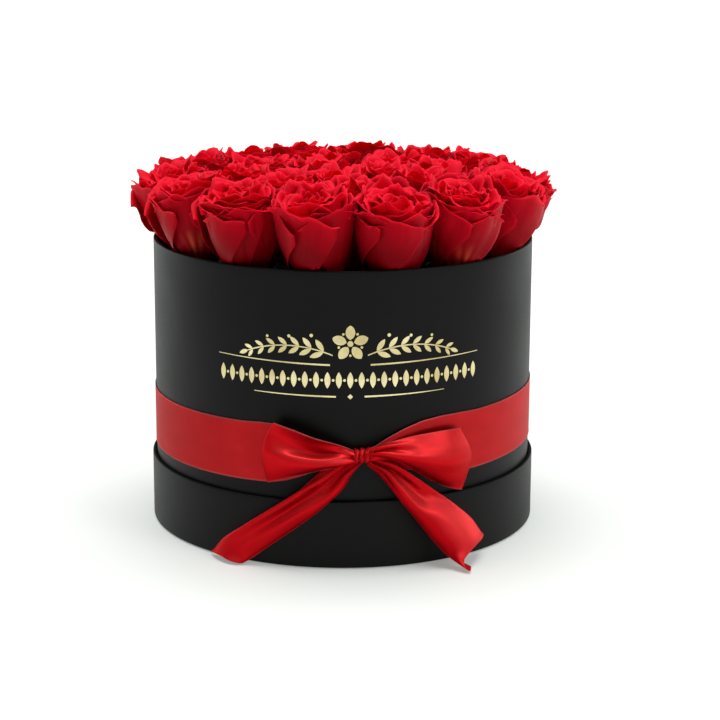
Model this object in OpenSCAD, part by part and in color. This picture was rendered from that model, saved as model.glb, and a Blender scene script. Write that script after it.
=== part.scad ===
// Round flower box: a paper-covered greyboard hat box that stands in its own
// upturned lid and holds red roses on short stems in two layers of dry foam.
// A satin ribbon runs round the box and is tied in a bow at the front.
// Origin: centre of the underside. +Z is up and -Y is the front, where the bow is.

/* [Box] */
// Outside diameter of the box
body_d = 250; // [230:1:280]
// Height of the box, from the underside of its floor to its rim
body_h = 186; // [180:1:200]
// Thickness of the greyboard wall of the box
board_t = 2.1; // [1.6:0.1:2.4]
// Thickness of the covering paper
wrap_t = 0.3; // [0.2:0.05:0.35]
// Depth that the covering paper is turned in over the rim
turn_in = 18; // [10:1:22]
// Thickness of the floor board
floor_t = 2; // [1.5:0.1:2.4]

/* [Tray lid] */
// Height of the lid
lid_h = 43.6; // [36:0.2:48]
// Clearance all round between the box and the lid's lining
lid_gap = 0.5; // [0.35:0.05:1]
// Thickness of the lid's side board
lid_board_t = 1.8; // [1.2:0.1:2]
// Thickness of the lid's flat panel
lid_panel_t = 2; // [1.5:0.1:2.2]

/* [Ribbon] */
// Width of the ribbon
ribbon_w = 38; // [34:1:40]
// Thickness of the ribbon
ribbon_t = 0.4; // [0.3:0.05:0.5]
// Height of the lower edge of the ribbon above the table
ribbon_z = 54.3; // [52:0.1:58]
// Slope of the ribbon up toward +X, in degrees
ribbon_tilt = 1.3; // [0:0.1:1.5]

/* [Roses] */
// Height of a rose head, from its calyx to the top of its petals
rose_h = 52; // [48:1:54]
// Outward lean of the outer ring of roses, in degrees
outer_lean = 18; // [16:1:19]
// Length of stem below a rose head
stem_l = 68; // [50:1:80]
// Diameter of a stem
stem_d = 4.6; // [3.6:0.2:5]

/* [Foam] */
// Height of one layer of dry foam
foam_h = 80; // [72:1:80]

/* [Foil print] */
// Height of the foil above the covering paper
foil_t = 0.12; // [0.08:0.01:0.2]

/* [Hidden] */

// clearance between two pieces that are glued or lie flat on each other
skin = 0.05;
sides = 180;

// box, from the outside in
body_r = body_d / 2;
tube_r = body_r - wrap_t;
tube_in = tube_r - board_t;
turn_r = tube_in - wrap_t;

// tray lid, from the inside out
liner_t = 0.25;
liner_in = body_r + lid_gap;
band_in = liner_in + liner_t + skin;
band_out = band_in + lid_board_t;
lid_r = band_out + skin + liner_t;
panel_paper_t = 0.2;
panel_z = panel_paper_t + skin + liner_t + skin;
inner_paper_z = panel_z + lid_panel_t + skin;

// the box stands on the paper inside the lid
body_z = inner_paper_z + panel_paper_t + skin;
rim_z = body_z + body_h;
floor_paper_t = 0.2;
floor_z = body_z + floor_paper_t + skin + wrap_t + skin;
foam_z = floor_z + floor_t + skin;
foam_r = turn_r - 1.2;
foam_top = foam_z + 2 * foam_h + skin;

// roses: number in each ring, and the turn of the first one from the front
outer_n = 14;
middle_n = 8;
centre_n = 3;
outer_turn = -11.1;
middle_turn = 9;
centre_turn = -21.5;
outer_top_r = body_r - 8;
middle_top_r = outer_top_r - 51.2;
centre_top_r = middle_top_r - 42.6;
middle_lean = 5;
rose_top_z = rim_z + 41;
outer_s = (outer_top_r * sin(180 / outer_n) - 1.0) / 25;
middle_s = (middle_top_r * sin(180 / middle_n) - 1.7) / 25;
centre_s = (centre_top_r * sin(180 / centre_n) - 2.2) / 25;

// ---- rings of paper and board ----

module ring(r_out, r_in, z0, z1) {
    translate([0, 0, z0]) difference() {
        cylinder(r = r_out, h = z1 - z0, $fn = sides);
        translate([0, 0, -1]) cylinder(r = r_in, h = z1 - z0 + 2, $fn = sides);
    }
}

module disc(r, z0, z1) {
    translate([0, 0, z0]) cylinder(r = r, h = z1 - z0, $fn = sides);
}

module body_tube() {
    color("#8d8a80") ring(tube_r - skin, tube_in + skin, body_z + floor_paper_t + wrap_t + 2 * skin, rim_z - wrap_t - skin);
}

// Covering paper: down the outside, turned in over the rim and under the floor
module body_wrap() {
    z0 = body_z + floor_paper_t + skin;
    color("#1b1b1b") rotate_extrude($fn = sides) polygon([
        [tube_r - 14, z0], [body_r, z0], [body_r, rim_z], [turn_r, rim_z],
        [turn_r, rim_z - turn_in], [turn_r + wrap_t, rim_z - turn_in],
        [turn_r + wrap_t, rim_z - wrap_t], [tube_r, rim_z - wrap_t],
        [tube_r, z0 + wrap_t], [tube_r - 14, z0 + wrap_t]]);
}

module body_lining() {
    color("#232323") ring(tube_in - skin, turn_r, floor_z + floor_t + skin, rim_z - turn_in - skin);
}

module body_floor() {
    color("#8d8a80") disc(tube_in - skin, floor_z, floor_z + floor_t);
}

module body_floor_paper() {
    color("#1b1b1b") disc(body_r - 3, body_z, body_z + floor_paper_t);
}

// ---- tray lid ----

module lid_band() {
    color("#8d8a80") ring(band_out, band_in, panel_z, lid_h - liner_t - skin);
}

// Covering paper: turned in over the open edge and under the panel
module lid_wrap() {
    z0 = panel_paper_t + skin;
    color("#1b1b1b") rotate_extrude($fn = sides) polygon([
        [band_out - 14, z0], [lid_r, z0], [lid_r, lid_h], [liner_in, lid_h],
        [liner_in, lid_h - 15], [liner_in + liner_t, lid_h - 15],
        [liner_in + liner_t, lid_h - liner_t], [band_out + skin, lid_h - liner_t],
        [band_out + skin, z0 + liner_t], [band_out - 14, z0 + liner_t]]);
}

module lid_lining() {
    color("#232323") ring(liner_in + liner_t, liner_in, body_z, lid_h - 15 - skin);
}

module lid_panel() {
    color("#8d8a80") disc(band_in - skin, panel_z, panel_z + lid_panel_t);
}

module lid_panel_paper() {
    color("#1b1b1b") disc(lid_r - 2.5, 0, panel_paper_t);
}

module lid_inner_paper() {
    color("#232323") disc(band_in - 2 * skin, inner_paper_z, inner_paper_z + panel_paper_t);
}

// ---- foil print: two laurel sprigs, a five-petal flower, a frieze and thin rules ----

module leaf(l, w) {
    r = (l * l + w * w) / (4 * w);
    intersection() {
        translate([l / 2, r - w / 2]) circle(r = r, $fn = 96);
        translate([l / 2, w / 2 - r]) circle(r = r, $fn = 96);
    }
}

module sprig() {
    arc_r = 66;
    // stem
    intersection() {
        translate([0, -arc_r]) difference() {
            circle(r = arc_r + 0.35, $fn = 180);
            circle(r = arc_r - 0.35, $fn = 180);
        }
        translate([-25, -9]) square([50, 12]);
    }
    // leaves in pairs, smaller toward the outer end
    for (i = [0:6]) {
        a = -18 + i * 6.2;
        s = 1 - 0.06 * i;
        translate([arc_r * sin(a), arc_r * cos(a) - arc_r]) {
            rotate(-a + 38) translate([0.7, 0]) leaf(8.2 * s, 3.1 * s);
            rotate(-a - 38) translate([0.7, 0]) leaf(8.2 * s, 3.1 * s);
        }
    }
    // leaf at the tip
    translate([25.2, -4.9]) rotate(-24) leaf(6, 2.4);
    // berries
    for (i = [0:2]) translate([-13 + 13 * i, 6.4 - 0.9 * i]) circle(r = 1 - 0.1 * i, $fn = 32);
}

module bloom() {
    for (i = [0:4]) rotate(90 + 72 * i) translate([2.5, 0]) leaf(9, 5.9);
    circle(r = 1.8, $fn = 32);
    for (i = [0:4]) rotate(54 + 72 * i) translate([7.4, 0]) circle(r = 0.8, $fn = 24);
}

// a line l long that thins from w at its inner end and rises by up
module rule(l, w, up) {
    polygon([[-l / 2, -w / 2], [l / 2, up - 0.2], [l / 2, up + 0.2], [-l / 2, w / 2]]);
}

// wraps a flat drawing, centred at height z and turned by a, onto the box
module foil(a, z) {
    rotate(a) intersection() {
        ring(body_r + skin / 2 + foil_t, body_r + skin / 2, z - 14, z + 14);
        translate([0, 20 - body_r, z]) rotate([90, 0, 0]) linear_extrude(40) children();
    }
}

module foil_motif() {
    per_mm = 180 / (PI * body_r);
    zf = rim_z - 45;
    color("#c9a44c") {
        foil(0, zf) bloom();
        for (side = [-1, 1]) {
            foil(side * 38 * per_mm, zf - 2) mirror([side < 0 ? 1 : 0, 0, 0]) scale(1.08) sprig();
            foil(side * 50 * per_mm, zf - 13.4) mirror([side < 0 ? 1 : 0, 0, 0]) rule(74, 1.1, 1.8);
            foil(side * 35 * per_mm, zf - 33.4) mirror([side < 0 ? 1 : 0, 0, 0]) rule(52, 1.1, 0.8);
        }
        for (i = [-12:12]) {
            foil(i * 7 * per_mm, zf - 23) rotate(90) translate([-5.2, 0]) leaf(10.4, 3.7);
        }
        for (i = [-12:11]) {
            foil((i + 0.5) * 7 * per_mm, zf - 23) circle(r = 0.85, $fn = 24);
        }
        foil(0, zf - 33.4) rotate(45) square(2.4, center = true);
    }
}

// ---- ribbon ----
// A point near the ribbon is given by its turn from the front toward +X, its
// distance outside the box wall, and its height above the ribbon's lower edge.

function at(p) = [(body_r + p[1]) * sin(p[0]), -(body_r + p[1]) * cos(p[0]), ribbon_z + p[2]];

knot_turn = 3;
knot_z = 19.5;

// ribbon round the box, gathered toward the knot over the front
module ribbon_band() {
    color("#b02428") difference() {
        intersection() {
            ring(body_r + skin + ribbon_t, body_r + skin, ribbon_z - 8, ribbon_z + ribbon_w + 8);
            translate([0, 0, ribbon_z + ribbon_w / 2]) rotate([0, -ribbon_tilt, 0])
                cube([2 * body_r + 40, 2 * body_r + 40, ribbon_w], center = true);
        }
        for (up = [0, 1]) translate([0, -body_r + 20, ribbon_z + knot_z]) rotate([90, 0, 0]) linear_extrude(40)
            mirror([0, up]) polygon([[body_r * sin(knot_turn), -4.5], [body_r * sin(26), -19.8], [body_r * sin(40), -34],
                [-body_r * sin(34), -34], [-body_r * sin(20), -19.8]]);
    }
}

module ball(p, r) {
    translate(at(p)) sphere(r = r, $fn = 20);
}

module bow_knot() {
    color("#b81c26") hull() {
        for (a = [-2.1, 2.1], z = [-1.6, 1.8]) ball([knot_turn + a, 6.4, knot_z + z], 3.2);
    }
}

// turn, distance, half height, middle height and thickness of each loop's sections
left_loop = [[-1.9, 6.2, 4, 19.2, 2], [-11, 8, 10, 20.4, 3.6], [-21, 6.4, 17, 20.6, 4.6]];
right_loop = [[7.9, 6.2, 4, 20.2, 2], [18, 8, 10, 18.2, 3.6], [31.6, 6.4, 18, 12.4, 4.6]];

module loop_solid(s) {
    for (i = [0:1]) hull() for (j = [i, i + 1], k = [-1, 1])
        ball([s[j][0], s[j][1], s[j][3] + k * (s[j][2] - s[j][4])], s[j][4] - 0.12 * (j - i));
}

module bow_loop_left() {
    color("#c01c26") loop_solid(left_loop);
}

module bow_loop_right() {
    color("#c01c26") loop_solid(right_loop);
}

// upper-edge point and lower-edge point of each section of the tails
left_tail = [[[-1.5, 5.2, 13.2], [1.2, 5.2, 12.2]], [[-8, 5.4, 6.6], [-1, 5.2, 2.4]], [[-16, 6.2, -9.4], [-7, 6.2, -12]],
    [[-26.6, 6.2, -29], [-16, 6.2, -29]], [[-35, 6.2, -43.4], [-24, 6.6, -42.6]], [[-41.4, 6.2, -52.2], [-30.4, 8.6, -52.4]]];
right_tail = [[[7.2, 5.4, 15.6], [6.2, 5.4, 12.2]], [[13.4, 4.2, 6.2], [9, 4.4, 3]], [[21, 4.6, -6.2], [13.4, 7, -9]],
    [[31, 5.4, -25.6], [18.6, 10.8, -26]], [[37, 5.8, -34], [24.6, 17, -43.4]], [[41, 6, -42.6], [28.6, 22, -52.6]]];

module tail_solid(s) {
    for (i = [0:4]) hull() for (j = [i, i + 1], k = [0, 1]) ball(s[j][k], 0.9);
}

module bow_tail_left() {
    color("#b01a22") tail_solid(left_tail);
}

module bow_tail_right() {
    color("#b01a22") tail_solid(right_tail);
}

// ---- roses ----
// A head's own frame has its calyx at the origin and its petals up +Z.

module stand(ring_r, lean, turn) {
    rotate(turn) translate([0, -ring_r, rose_top_z]) rotate([lean, 0, 0]) translate([0, 0, -rose_h]) children();
}

module each_rose(i0, i1) {
    for (i = [i0:i1]) {
        if (i < outer_n) stand(outer_top_r, outer_lean, outer_turn + i * 360 / outer_n) children();
        else if (i < outer_n + middle_n) stand(middle_top_r, middle_lean, middle_turn + (i - outer_n) * 360 / middle_n) children();
        else stand(centre_top_r, 0, centre_turn + (i - outer_n - middle_n) * 360 / centre_n) children();
    }
}

// half-outline of a head whose widest radius is 25 before scaling by s
function head(s) = [[0, 0], [9, 0], [11, 2.5], [13.3 * s, 7.5], [16.5 * s, 13], [19.7 * s, 20], [22.6 * s, 28],
    [24 * s, 35], [25 * s, rose_h - 8], [24.4 * s, rose_h - 4], [21 * s, rose_h - 1.2], [14 * s, rose_h], [6 * s, rose_h - 1.5], [0, rose_h - 3]];

module rose(i, s) {
    color("#c8101e") each_rose(i, i) rotate_extrude($fn = 48) polygon(head(s));
}

module outer_rose(i) { rose(i - 1, outer_s); }
module middle_rose(i) { rose(outer_n + i - 1, middle_s); }
module centre_rose(i) { rose(outer_n + middle_n + i - 1, centre_s); }

module calyxes() {
    color("#3f5a2c") each_rose(0, outer_n + middle_n + centre_n - 1) rotate_extrude($fn = 36)
        polygon([[0, -9], [2.6, -9], [3.6, -7.5], [6.2, -5], [8, -2], [8.6, -skin], [0, -skin]]);
}

module stem(d, l) {
    translate([0, 0, -9 - skin - l]) cylinder(r = d / 2, h = l, $fn = 24);
}

module rose_stems() {
    color("#4d6a34") each_rose(0, outer_n + middle_n + centre_n - 1) stem(stem_d, stem_l);
}

// ---- foam ----

module foam_lower() {
    color("#3d5a45") disc(foam_r, foam_z, foam_z + foam_h);
}

module foam_upper() {
    color("#3d5a45") difference() {
        disc(foam_r, foam_z + foam_h + skin, foam_top);
        each_rose(0, outer_n + middle_n + centre_n - 1) stem(stem_d + 0.1, stem_l + 0.1);
    }
}

body_tube();
body_wrap();
body_lining();
body_floor();
body_floor_paper();
foil_motif();
ribbon_band();
bow_knot();
bow_loop_left();
bow_loop_right();
bow_tail_left();
bow_tail_right();
lid_band();
lid_wrap();
lid_lining();
lid_panel();
lid_panel_paper();
lid_inner_paper();
foam_lower();
foam_upper();
rose_stems();
calyxes();
outer_rose(1);  // rose_outer_01
outer_rose(2);  // rose_outer_02
outer_rose(3);  // rose_outer_03
outer_rose(4);  // rose_outer_04
outer_rose(5);  // rose_outer_05
outer_rose(6);  // rose_outer_06
outer_rose(7);  // rose_outer_07
outer_rose(8);  // rose_outer_08
outer_rose(9);  // rose_outer_09
outer_rose(10);  // rose_outer_10
outer_rose(11);  // rose_outer_11
outer_rose(12);  // rose_outer_12
outer_rose(13);  // rose_outer_13
outer_rose(14);  // rose_outer_14
middle_rose(1);  // rose_middle_01
middle_rose(2);  // rose_middle_02
middle_rose(3);  // rose_middle_03
middle_rose(4);  // rose_middle_04
middle_rose(5);  // rose_middle_05
middle_rose(6);  // rose_middle_06
middle_rose(7);  // rose_middle_07
middle_rose(8);  // rose_middle_08
centre_rose(1);  // rose_centre_01
centre_rose(2);  // rose_centre_02
centre_rose(3);  // rose_centre_03
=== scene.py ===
import math

import bpy
import numpy as np
from mathutils import Matrix, Vector


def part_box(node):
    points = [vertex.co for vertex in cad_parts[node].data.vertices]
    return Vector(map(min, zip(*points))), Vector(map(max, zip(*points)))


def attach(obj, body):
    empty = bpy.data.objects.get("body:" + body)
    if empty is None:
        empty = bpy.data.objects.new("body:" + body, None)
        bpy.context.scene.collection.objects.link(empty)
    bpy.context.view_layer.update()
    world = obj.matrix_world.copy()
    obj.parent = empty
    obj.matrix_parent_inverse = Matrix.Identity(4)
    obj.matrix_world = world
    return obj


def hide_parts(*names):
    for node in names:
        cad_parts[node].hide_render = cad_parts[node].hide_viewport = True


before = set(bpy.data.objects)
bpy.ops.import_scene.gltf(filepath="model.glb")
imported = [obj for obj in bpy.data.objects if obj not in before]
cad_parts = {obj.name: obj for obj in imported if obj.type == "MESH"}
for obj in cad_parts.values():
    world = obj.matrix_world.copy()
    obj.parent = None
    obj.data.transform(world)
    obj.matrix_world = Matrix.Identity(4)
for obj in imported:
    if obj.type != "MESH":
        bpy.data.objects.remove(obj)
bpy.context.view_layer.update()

MM = 0.001
BODY_R = 125.0
BODY_Z, RIM_Z = 2.9, 188.9
LID_R, LID_H = 127.95, 43.6


def box_mm(node):
    lo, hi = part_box(node)
    return np.array(lo) * 1000, np.array(hi) * 1000


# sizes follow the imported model, not numbers typed here
_lo, _hi = box_mm("body_wrap")
BODY_R, RIM_Z, BODY_Z = (_hi[0] - _lo[0]) / 2, _hi[2], _lo[2]
_lo, _hi = box_mm("lid_wrap")
LID_R, LID_H, LID_Z = (_hi[0] - _lo[0]) / 2, _hi[2], _lo[2]


# ------------------------------------------------------------------ meshes

def make(name, verts, quads, material, body, uv=None, attrs=None, smooth=True):
    """A mesh object from points in mm and quads."""
    v = np.asarray(verts, float) * MM
    q = np.asarray(quads, np.int32)
    me = bpy.data.meshes.new(name)
    me.vertices.add(len(v))
    me.vertices.foreach_set("co", v.ravel())
    me.loops.add(q.size)
    me.loops.foreach_set("vertex_index", q.ravel())
    me.polygons.add(len(q))
    me.polygons.foreach_set("loop_start", np.arange(0, q.size, 4, dtype=np.int32))
    if uv is not None:
        layer = me.uv_layers.new(name="UVMap")
        layer.data.foreach_set("uv", np.asarray(uv, float)[q.ravel()].ravel())
    for key, values in (attrs or {}).items():
        a = me.attributes.new(key, "FLOAT", "POINT")
        a.data.foreach_set("value", np.asarray(values, np.float32).ravel())
    me.update(calc_edges=True)
    me.validate()
    me.polygons.foreach_set("use_smooth", np.full(len(me.polygons), smooth))
    me.materials.append(material)
    ob = bpy.data.objects.new(name, me)
    bpy.context.scene.collection.objects.link(ob)
    if body:
        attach(ob, body)
    return ob


def grid_normals(p, wrap_u=False, wrap_v=False):
    def d(a, axis, wrap):
        if wrap:
            return np.roll(a, -1, axis) - np.roll(a, 1, axis)
        return np.gradient(a, axis=axis)
    n = np.cross(d(p, 0, wrap_u), d(p, 1, wrap_v))
    return n / np.maximum(np.linalg.norm(n, axis=-1, keepdims=True), 1e-9)


def grid_quads(nu, nv, wrap_u=False, wrap_v=False):
    i = np.arange(nu if wrap_u else nu - 1)
    j = np.arange(nv if wrap_v else nv - 1)
    i, j = [x.ravel() for x in np.meshgrid(i, j, indexing="ij")]
    i2, j2 = (i + 1) % nu, (j + 1) % nv
    return np.stack([i * nv + j, i2 * nv + j, i2 * nv + j2, i * nv + j2], 1)


def shell(p, thick, wrap_u=False):
    """A closed thin shell round the grid p (nu, nv, 3): points, quads and, for each point, its grid index."""
    nu, nv = p.shape[:2]
    n = grid_normals(p, wrap_u)
    t = np.broadcast_to(np.asarray(thick, float), (nu, nv))[..., None]
    a, b = p + n * t / 2, p - n * t / 2
    v = np.concatenate([a.reshape(-1, 3), b.reshape(-1, 3)])
    k = nu * nv
    q = grid_quads(nu, nv, wrap_u)
    quads = [q, q[:, ::-1] + k]
    idx = np.arange(k).reshape(nu, nv)
    edges = []
    if wrap_u:
        edges.append(np.append(idx[:, 0], idx[0, 0])[::-1])
        edges.append(np.append(idx[:, -1], idx[0, -1]))
    else:
        edges.append(np.concatenate([idx[0, :-1], idx[:-1, -1], idx[-1, :0:-1], idx[::-1, 0]]))
    for e in edges:
        quads.append(np.stack([e[:-1], e[1:], e[1:] + k, e[:-1] + k], 1))
    at = np.concatenate([np.arange(k), np.arange(k)])
    return v, np.concatenate(quads), at


def lathe(profile, angles, radial=None):
    """A closed profile [(r, z), ...] turned round Z. radial(angle, r, z) is added to the radius."""
    pr = np.asarray(profile, float)
    a = np.asarray(angles)[:, None]
    r, z = np.broadcast_to(pr[:, 0], (len(a), len(pr))), np.broadcast_to(pr[:, 1], (len(a), len(pr)))
    if radial is not None:
        r = r + radial(a, r, z)
    p = np.stack([r * np.sin(a), -r * np.cos(a), z], -1)
    q = grid_quads(len(angles), len(pr), True, True)
    return p.reshape(-1, 3), q


def arc(cx, cz, r, a0, a1, n=6):
    return [(cx + r * math.cos(math.radians(t)), cz + r * math.sin(math.radians(t))) for t in np.linspace(a0, a1, n)]


def catmull(c, t):
    """Catmull-Rom through the control points c along axis 0, at parameters t from 0 to 1."""
    c = np.asarray(c, float)
    n = len(c)
    x = np.clip(np.asarray(t) * (n - 1), 0, n - 1)
    i = np.minimum(x.astype(int), n - 2)
    f = (x - i).reshape((-1,) + (1,) * (c.ndim - 1))
    g = np.concatenate([(2 * c[:1] - c[1:2]), c, (2 * c[-1:] - c[-2:-1])])
    p0, p1, p2, p3 = g[i], g[i + 1], g[i + 2], g[i + 3]
    return 0.5 * (2 * p1 + (p2 - p0) * f + (2 * p0 - 5 * p1 + 4 * p2 - p3) * f**2 + (3 * p1 - p0 - 3 * p2 + p3) * f**3)


def noise2(rng, x, y, fx, fy):
    """Smooth random values in -1..1 over x, y in 0..1, with fx by fy cells."""
    g = rng.uniform(-1, 1, (int(math.ceil(fx)) + 2, int(math.ceil(fy)) + 2))
    gx, gy = np.clip(x, 0, 1) * fx, np.clip(y, 0, 1) * fy
    i, j = gx.astype(int), gy.astype(int)
    u, v = gx - i, gy - j
    u, v = u * u * (3 - 2 * u), v * v * (3 - 2 * v)
    return (g[i, j] * (1 - u) + g[i + 1, j] * u) * (1 - v) + (g[i, j + 1] * (1 - u) + g[i + 1, j + 1] * u) * v


# ------------------------------------------------------------------ materials

def nodes_of(name):
    m = bpy.data.materials.new(name)
    m.use_nodes = True
    nt = m.node_tree
    nt.nodes.clear()
    out = nt.nodes.new("ShaderNodeOutputMaterial")
    bsdf = nt.nodes.new("ShaderNodeBsdfPrincipled")
    nt.links.new(bsdf.outputs[0], out.inputs[0])
    return m, nt, bsdf


def add(nt, kind, **values):
    n = nt.nodes.new(kind)
    for k, v in values.items():
        if k in n.inputs:
            n.inputs[k].default_value = v
        else:
            setattr(n, k, v)
    return n


def ramp(nt, fac, stops):
    n = nt.nodes.new("ShaderNodeValToRGB")
    while len(n.color_ramp.elements) < len(stops):
        n.color_ramp.elements.new(0.5)
    for e, (pos, col) in zip(n.color_ramp.elements, stops):
        e.position = pos
        e.color = (*col, 1) if len(col) == 3 else col
    nt.links.new(fac, n.inputs[0])
    return n.outputs[0]


def grey(v):
    return (v, v, v)


def mix(nt, fac, a, b, kind="MIX"):
    n = nt.nodes.new("ShaderNodeMix")
    n.data_type = "RGBA"
    n.blend_type = kind
    for sock, val in ((n.inputs[0], fac), (n.inputs[6], a), (n.inputs[7], b)):
        if isinstance(val, bpy.types.NodeSocket):
            nt.links.new(val, sock)
        elif isinstance(val, (int, float)):
            sock.default_value = val
        else:
            sock.default_value = (*val, 1)
    return n.outputs[2]


def math_node(nt, op, a, b=0.0):
    n = nt.nodes.new("ShaderNodeMath")
    n.operation = op
    for sock, val in ((n.inputs[0], a), (n.inputs[1], b)):
        if isinstance(val, bpy.types.NodeSocket):
            nt.links.new(val, sock)
        else:
            sock.default_value = val
    return n.outputs[0]


def coords(nt, scale, source="Object"):
    t = nt.nodes.new("ShaderNodeTexCoord")
    m = nt.nodes.new("ShaderNodeMapping")
    nt.links.new(t.outputs[source], m.inputs[0])
    m.inputs["Scale"].default_value = scale
    return m.outputs[0]


def noise(nt, vec, scale, detail=3.0, rough=0.5):
    n = nt.nodes.new("ShaderNodeTexNoise")
    nt.links.new(vec, n.inputs["Vector"])
    n.inputs["Scale"].default_value = scale
    n.inputs["Detail"].default_value = detail
    n.inputs["Roughness"].default_value = rough
    return n.outputs[0]


def bump(nt, height, dist, strength=1.0, normal=None):
    n = nt.nodes.new("ShaderNodeBump")
    n.inputs["Strength"].default_value = strength
    n.inputs["Distance"].default_value = dist
    nt.links.new(height, n.inputs["Height"])
    if normal is not None:
        nt.links.new(normal, n.inputs["Normal"])
    return n.outputs[0]


def paper_material(name, base, rough):
    m, nt, b = nodes_of(name)
    v = coords(nt, (1, 1, 1))
    fibre = noise(nt, v, 900, 4, 0.6)
    cloud = noise(nt, v, 22, 3, 0.55)
    nt.links.new(ramp(nt, cloud, [(0.3, [x * 0.8 for x in base]), (0.7, [x * 1.25 for x in base])]), b.inputs["Base Color"])
    nt.links.new(ramp(nt, mix(nt, 0.5, fibre, cloud), [(0.3, grey(rough - 0.06)), (0.7, grey(rough + 0.08))]), b.inputs["Roughness"])
    b.inputs["Specular IOR Level"].default_value = 0.13
    nt.links.new(bump(nt, fibre, 0.00006, 0.35), b.inputs["Normal"])
    return m


def board_material():
    m, nt, b = nodes_of("greyboard")
    v = coords(nt, (1, 1, 1))
    f = noise(nt, v, 700, 5, 0.7)
    s = noise(nt, v, 90, 3, 0.6)
    nt.links.new(ramp(nt, mix(nt, 0.4, f, s), [(0.3, (0.20, 0.185, 0.16)), (0.55, (0.30, 0.28, 0.25)), (0.75, (0.38, 0.36, 0.32))]), b.inputs["Base Color"])
    b.inputs["Roughness"].default_value = 0.9
    nt.links.new(bump(nt, f, 0.0001, 0.5), b.inputs["Normal"])
    return m


def foil_material():
    m, nt, b = nodes_of("gold_foil")
    v = coords(nt, (1, 1, 1))
    n1 = noise(nt, v, 260, 3, 0.6)
    n2 = noise(nt, v, 30, 2, 0.5)
    nt.links.new(ramp(nt, n2, [(0.3, (0.56, 0.47, 0.22)), (0.7, (0.86, 0.77, 0.46))]), b.inputs["Base Color"])
    b.inputs["Metallic"].default_value = 1.0
    nt.links.new(ramp(nt, n1, [(0.3, grey(0.22)), (0.7, grey(0.42))]), b.inputs["Roughness"])
    nt.links.new(bump(nt, n1, 0.00005, 0.5), b.inputs["Normal"])
    return m


def satin_material():
    """Woven satin: floats run along the ribbon, the selvedges are a lighter, denser weave; painted shade darkens it
    where it faces away from the light and painted highlights lighten the ridges that face it. UV is in mm: x along, y
    across.
    """
    m, nt, b = nodes_of("satin_ribbon")
    uv = coords(nt, (1, 1, 1), "UV")
    float_run = noise(nt, coords(nt, (0.5, 9.0, 1), "UV"), 1.0, 3, 0.6)
    weave = nt.nodes.new("ShaderNodeTexWave")
    weave.wave_type, weave.bands_direction = "BANDS", "X"
    nt.links.new(uv, weave.inputs[0])
    weave.inputs["Scale"].default_value = 1.6
    weave.inputs["Distortion"].default_value = 1.2
    weave.inputs["Detail"].default_value = 2
    weave.inputs["Detail Scale"].default_value = 1.5
    soft = noise(nt, coords(nt, (0.05, 0.09, 1), "UV"), 1.0, 3, 0.5)
    edge = nt.nodes.new("ShaderNodeAttribute")
    edge.attribute_name = "selvedge"
    base = ramp(nt, soft, [(0.3, (0.44, 0.006, 0.009)), (0.6, (0.52, 0.009, 0.012)), (0.8, (0.60, 0.014, 0.017))])
    streak = mix(nt, 0.30, base, ramp(nt, float_run, [(0.25, (0.30, 0.004, 0.007)), (0.75, (0.66, 0.020, 0.024))]))
    rich = nt.nodes.new("ShaderNodeAttribute")
    rich.attribute_name = "rich"
    streak = mix(nt, rich.outputs["Fac"], streak, (0.64, 0.0008, 0.006))
    # painted shade and painted highlight: two vertex weights from the way the satin faces a fixed light
    fold = nt.nodes.new("ShaderNodeAttribute")
    fold.attribute_name = "fold"
    painted_highlight = nt.nodes.new("ShaderNodeAttribute")
    painted_highlight.attribute_name = "painted_highlight"
    # painted shade towards dark red, then a painted highlight towards light red
    streak = mix(nt, fold.outputs["Fac"], streak, (0.12, 0.0, 0.002))
    streak = mix(nt, painted_highlight.outputs["Fac"], streak, (1.0, 0.050, 0.055))
    nt.links.new(mix(nt, edge.outputs["Fac"], streak, (0.50, 0.11, 0.11)), b.inputs["Base Color"])
    nt.links.new(ramp(nt, float_run, [(0.2, grey(0.36)), (0.8, grey(0.48))]), b.inputs["Roughness"])
    b.inputs["Metallic"].default_value = 0.45
    dull = math_node(nt, "ADD", fold.outputs["Fac"], math_node(nt, "MULTIPLY", rich.outputs["Fac"], 0.25))
    nt.links.new(ramp(nt, dull, [(0.0, grey(0.36)), (0.45, grey(0.04))]), b.inputs["Specular IOR Level"])
    b.inputs["Specular Tint"].default_value = (1.0, 0.22, 0.22, 1)
    b.inputs["Anisotropic"].default_value = 0.4
    h = mix(nt, 0.4, weave.outputs[0], float_run)
    nt.links.new(bump(nt, h, 0.00004, 0.4), b.inputs["Normal"])
    return m


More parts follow.
